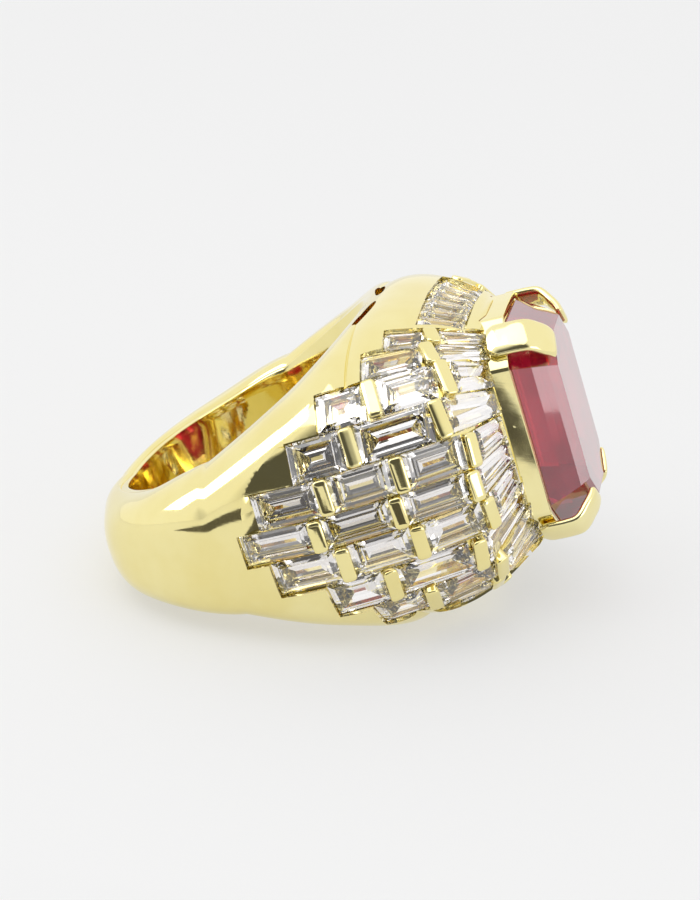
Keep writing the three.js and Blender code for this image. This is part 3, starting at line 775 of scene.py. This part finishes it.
# ---------------------------------------------------------------- baguettes
# Rings of a step cut: height above the girdle, then inset of the long sides and of the ends. All are parts of
# the half width.
STEP_CUT = [(-1.0, 0.90, 1.25), (-0.74, 0.58, 0.86), (-0.42, 0.24, 0.42), (-0.03, 0.0, 0.0), (0.03, 0.0, 0.0),
            (0.12, 0.16, 0.24), (0.20, 0.34, 0.52)]
END_STEEPNESS = 0.86
SHORT_STONE = 0.78                              # the half width counts as up to this part of half the length


def baguette(corners, far=False, end=1):
    """A step-cut stone whose girdle fits four corners of the surface, sunk below it."""
    middle, along, across, normal = plan_frame(corners)
    flat = [((c - middle).dot(along), (c - middle).dot(across)) for c in corners]
    flat = inset(flat, GIRDLE_GAP, GIRDLE_GAP)
    a, b, c, d = (Vector(corner) for corner in flat)
    half = min(((d - a).length + (c - b).length) / 4, ((b - a).length + (c - d).length) / 4 * SHORT_STONE)
    rings = []
    for lift, sides, ends in STEP_CUT:
        outline = inset(flat, sides * half, ends * half * END_STEEPNESS)
        depth = GIRDLE_SINK + lift * min(1.0, half)
        rings.append(placed([middle + along * x + across * y + normal * depth for x, y in outline], far, end))
    return loft(rings)


def raised(corners):
    """The corners with the two next to the collet lifted along its wall."""
    return [p + Vector((COLLET_RISE, 0, 0)) if i in (1, 2) else p for i, p in enumerate(corners)]


def clear_piece(name, stones, node):
    piece(name, make_mesh("stones", *joined(stones), bend=1), CLEAR, "clear_stone", node)


def add_stones():
    for far, side in ((False, "near"), (True, "far")):
        inner = []
        for r in range(-5, 6):
            place = "middle" if r == 0 else f"{'upper' if r > 0 else 'lower'}_{abs(r)}"
            *outer, (_, last) = row_places(r)
            for letter, corners in outer:
                clear_piece(f"stone_{side}_{place}_{letter}", [baguette(patch(*corners), far)],
                            f"baguette_{side}_{place}_{letter}")
            inner.append(baguette(raised(patch(*last)), far))
        clear_piece(f"inner_stones_{side}", inner, f"inner_course_{side}_side")
    for end, name in ((1, "upper"), (-1, "lower")):
        clear_piece(f"end_stones_{name}", [baguette(patch(*place), end=end) for place in end_places()],
                    f"end_course_{name}")


# ---------------------------------------------------------------- collet, seat, red stone, claws
CORNER_SHARE = 0.59                             # how much smaller a cut corner gets per millimetre of inset
SOFT_EDGE = 0.07                                # rounding of the collet's rims
COLLET_CORNER, SEAT_CORNER = 0.18, 0.15         # rounding of the upright corners


def tube(sections):
    """A ring-shaped solid through closed outlines; the last outline joins the first."""
    n = len(sections[0])
    vertices = [p for section in sections for p in section]
    count = len(sections)
    faces = [(r * n + i, r * n + (i + 1) % n, (r + 1) % count * n + (i + 1) % n, (r + 1) % count * n + i)
             for r in range(count) for i in range(n)]
    return vertices, faces


def softened(outline, radius, steps=3):
    """The outline with each corner turned into a short arc."""
    n = len(outline)
    points = []
    for i, corner in enumerate(outline):
        before, after = (outline[i - 1] - corner).normalized(), (outline[(i + 1) % n] - corner).normalized()
        start, end = corner + before * radius, corner + after * radius
        for k in range(steps + 1):
            t = k / steps
            points.append(start * (1 - t) ** 2 + corner * 2 * t * (1 - t) + end * t * t)
    return points


def collet_ring(height, move):
    """The collet's outline at one height, moved in."""
    cut = COLLET["cut"] - CORNER_SHARE * move
    plan = octagon(height, COLLET["length"] - 2 * move, COLLET["width"] - 2 * move, cut)
    return softened(plan, COLLET_CORNER)


def seat_ring(height, move):
    """The seat's outline, just inside the collet's wall, moved in."""
    shrink = COLLET["wall"] + SEAT["gap"] + move
    cut = COLLET["cut"] - CORNER_SHARE * COLLET["wall"] - 0.4 * move
    plan = octagon(height, COLLET["length"] - 2 * shrink, COLLET["width"] - 2 * shrink, cut)
    return softened(plan, SEAT_CORNER)


def add_setting(name, rings, node):
    mesh = make_mesh(name, *tube([make_ring(height, move) for make_ring, height, move in rings]), bend=35)
    piece(name, mesh, SETTING_GOLD, "gold_setting", node)


def add_collet():
    wall, top, bottom, soft = COLLET["wall"], COLLET["top"], COLLET["bottom"], SOFT_EDGE
    profile = [(bottom, soft), (bottom + soft, 0), (top - soft, 0), (top - soft * 0.3, soft * 0.3),
               (top, soft), (top, wall - soft), (top - soft, wall),
               (bottom + soft, wall), (bottom, wall - soft)]
    add_setting("collet_wall", [(collet_ring, *point) for point in profile], "collet")
    low, high, ledge = SEAT["bottom"], SEAT["top"], SEAT["ledge"]
    profile = [(low, 0.04), (low + 0.05, 0), (high, 0), (high, ledge * 0.8), (high - 0.08, ledge),
               (low + 0.05, ledge), (low, ledge * 0.85)]
    add_setting("seat_ledge", [(seat_ring, *point) for point in profile], "stone_seat")


def add_red_stone():
    rings = [octagon(height, STONE["length"] - 2 * move, STONE["width"] - 2 * move, cut)
             for height, move, cut in STONE_RINGS]
    piece("red_gem", make_mesh("red", *loft(rings), bend=1), RED, "red_stone", "red_stone")


def corner_distance(plan):
    """From the middle of a plan with cut corners to a cut, square to it."""
    return ((plan["length"] + plan["width"]) / 2 - plan["cut"]) / math.sqrt(2)


CLAW_RINGS, CLAW_SIDES = 30, 24
CLAW_TIP = 0.9                                  # part of the path where the rounded tip begins


def claw_size(k):
    """Half width and half thickness of a claw at k, from 0 at its foot to 1 at its tip."""
    tip = math.sqrt(max(0.0, 1 - max(0.0, (k - CLAW_TIP) / 0.1) ** 2)) * 0.9 + 0.1 if k > CLAW_TIP else 1.0
    foot = 0.75 + 0.25 * min(1.0, k / 0.05)
    half_width = CLAW["width"] / 2 * (1 - 0.12 * smooth((k - 0.55) / 0.4)) * foot * (0.45 + 0.55 * tip)
    half_thick = CLAW["thickness"] / 2 * (1 - 0.25 * smooth((k - 0.6) / 0.4)) * tip * foot
    return half_width, half_thick


def add_claws():
    """Four claws up the collet's cut corners and over the crown."""
    base, girdle = corner_distance(COLLET), corner_distance(STONE)
    # Distance from the middle of the ring along the diagonal, then height.
    path = [(base + 0.33, 16.05), (base + 0.34, 16.9), (base + 0.33, 17.6), (base + 0.2, 18.3),
            (girdle, 18.92), (girdle - 0.45, 19.2), (girdle - 0.85, 19.34), (girdle - 0.98, 19.33)]
    path = [centripetal(path, t) for t in np.linspace(0, 1, CLAW_RINGS)]
    root = math.sqrt(2)
    middle_y, middle_z = ((COLLET[side] - COLLET["cut"]) / 2 - base / root for side in ("width", "length"))
    corners = {"near_upper": (-1, 1), "near_lower": (-1, -1), "far_upper": (1, 1), "far_lower": (1, -1)}
    for name, (y_sign, z_sign) in corners.items():
        rings = []
        for i, (r, h) in enumerate(path):
            ahead = path[min(i + 1, CLAW_RINGS - 1)] - path[max(i - 1, 0)]
            ahead = ahead / np.linalg.norm(ahead)
            half_width, half_thick = claw_size(i / (CLAW_RINGS - 1))
            ring = []
            for step in range(CLAW_SIDES):
                a = 2 * math.pi * step / CLAW_SIDES
                c, s = math.cos(a), math.sin(a)
                t = half_width * math.copysign(abs(c) ** 0.55, c)
                w = half_thick * math.copysign(abs(s) ** 0.75, s)
                out, height = r + ahead[1] * w, h - ahead[0] * w
                ring.append(Vector((height, y_sign * (middle_y + (out + t) / root),
                                    z_sign * (middle_z + (out - t) / root))))
            rings.append(ring)
        mesh = make_mesh("claw", *loft(rings), bend=50)
        piece(f"claw_{name}_worn", mesh, SETTING_GOLD, "gold_setting", f"claw_{name}")


piece("gold_body", gold_body(), BAND_GOLD, "gold_band", "shank", "head_shell")
add_stones()
add_collet()
add_red_stone()
add_claws()


# ---------------------------------------------------------------- floor, light and camera, in metres
FLOOR_HALF = 3.0
FLOOR_GLOW = 0.485                              # fill light from the table, so that shadows stay pale
# A dark sheet on the floor in front of the ring, seen only in the polish, never directly: painted shade in
# the reflections of the front floor.
PAINTED_SHADE_CARD = {"x": (-0.035, 0.030), "y": (-0.115, -0.037), "height": 0.0004}
CAMERA = {"azimuth": 10.18, "elevation": 21.35, "roll": 3.04, "distance": 0.11931,
          "aim": (-0.0003, -0.00061, 0.00758), "lens": 102.06}


def stage_sheet(name, x_range, y_range, height, material):
    """A flat sheet that belongs to the stage."""
    (x0, x1), (y0, y1) = x_range, y_range
    corners = [(x0, y0, height), (x1, y0, height), (x1, y1, height), (x0, y1, height)]
    mesh = bpy.data.meshes.new(name)
    mesh.from_pydata(corners, [], [(0, 1, 2, 3)])
    mesh.materials.append(material)
    sheet = bpy.data.objects.new(name, mesh)
    bpy.context.scene.collection.objects.link(sheet)
    return sheet


def add_floor():
    material, nodes, links, shader, place = material_of("pale_floor")
    tone = spread(nodes, links, noise(nodes, links, place, scale=3), 0.0, 1.0)
    blend_colours(nodes, links, shader, tone, (0.385, 0.385, 0.385), (0.40, 0.40, 0.40))
    set_inputs(shader, Roughness=0.9, Specular_IOR_Level=0.1,
               Emission_Color=(1, 1, 1, 1), Emission_Strength=FLOOR_GLOW)
    reach = (-FLOOR_HALF, FLOOR_HALF)
    stage_sheet("floor", reach, reach, 0, material)


def add_painted_shade_card():
    material, nodes, links, shader, place = material_of("painted_shade_card")
    haze = noise(nodes, links, place, scale=40)
    links.new(spread(nodes, links, haze, 0.75, 0.95), shader.inputs["Roughness"])
    # Painted shade: this dark sheet shows only as dark reflections in the polish, where the floor in front
    # lies in shade.
    shader.inputs["Base Color"].default_value = (0.05, 0.045, 0.04, 1)
    card = stage_sheet("painted_shade_card", PAINTED_SHADE_CARD["x"], PAINTED_SHADE_CARD["y"], PAINTED_SHADE_CARD["height"], material)
    card.visible_camera = card.visible_diffuse = card.visible_shadow = False


def view_direction(azimuth, elevation):
    a, e = math.radians(azimuth), math.radians(elevation)
    return Vector((math.sin(a) * math.cos(e), -math.cos(a) * math.cos(e), math.sin(e)))


def add_camera():
    data = bpy.data.cameras.new("camera")
    data.sensor_width = 36
    data.sensor_fit = "HORIZONTAL"
    data.lens = CAMERA["lens"]
    data.clip_start = 0.005
    back = view_direction(CAMERA["azimuth"], CAMERA["elevation"])
    level = Vector((0, 0, 1)).cross(back).normalized()
    turn = Matrix((level, back.cross(level), back)).transposed()
    turn = turn @ Matrix.Rotation(math.radians(CAMERA["roll"]), 3, "Z")
    camera = bpy.data.objects.new("camera", data)
    place = Vector(CAMERA["aim"]) + back * CAMERA["distance"]
    camera.matrix_world = Matrix.Translation(place) @ turn.to_4x4()
    bpy.context.scene.collection.objects.link(camera)
    bpy.context.scene.camera = camera


def add_world():
    """A pale room, darker behind the camera, where the photographer stands."""
    world = bpy.data.worlds.new("studio")
    bpy.context.scene.world = world
    world.use_nodes = True
    nodes, links = world.node_tree.nodes, world.node_tree.links
    background = next(n for n in nodes if n.type == "BACKGROUND")
    background.inputs["Color"].default_value = (1.0, 1.0, 1.0, 1)
    direction = nodes.new("ShaderNodeTexCoord").outputs["Generated"]
    dark = nodes.new("ShaderNodeVectorMath")
    dark.operation = "DOT_PRODUCT"
    dark.inputs[1].default_value = view_direction(CAMERA["azimuth"] - 10, CAMERA["elevation"] - 2)
    links.new(direction, dark.inputs[0])
    ramp = nodes.new("ShaderNodeValToRGB")
    for element, position, level in zip(ramp.color_ramp.elements, (0.74, 0.91), (1.0, 0.10)):
        element.position = position
        element.color = (level, level, level, 1)
    links.new(dark.outputs["Value"], ramp.inputs["Fac"])
    links.new(ramp.outputs["Color"], background.inputs["Strength"])


def add_light(name, azimuth, elevation, distance, width, height, power, on_floor=True):
    """A softbox aimed at the ring; one kept off the floor shows only in polish and stones."""
    data = bpy.data.lights.new(name, "AREA")
    data.shape = "RECTANGLE"
    data.size, data.size_y = width, height
    data.energy = power
    lamp = bpy.data.objects.new(name, data)
    direction = view_direction(azimuth, elevation)
    lamp.location = direction * distance
    lamp.rotation_euler = direction.to_track_quat("Z", "Y").to_euler()
    lamp.visible_diffuse = on_floor
    bpy.context.scene.collection.objects.link(lamp)


add_floor()
add_painted_shade_card()
add_camera()
add_world()
add_light("top_softbox", -30, 68, distance=0.35, width=0.30, height=0.22, power=0.22)
add_light("left_softbox", -70, 35, distance=0.40, width=0.16, height=0.28, power=0.55, on_floor=False)
add_light("right_softbox", 62, 9, distance=0.35, width=0.20, height=0.16, power=0.20, on_floor=False)
scene = bpy.context.scene
scene.view_settings.view_transform = "Standard"
scene.cycles.max_bounces = 24
scene.cycles.transmission_bounces = 20
scene.cycles.glossy_bounces = 12
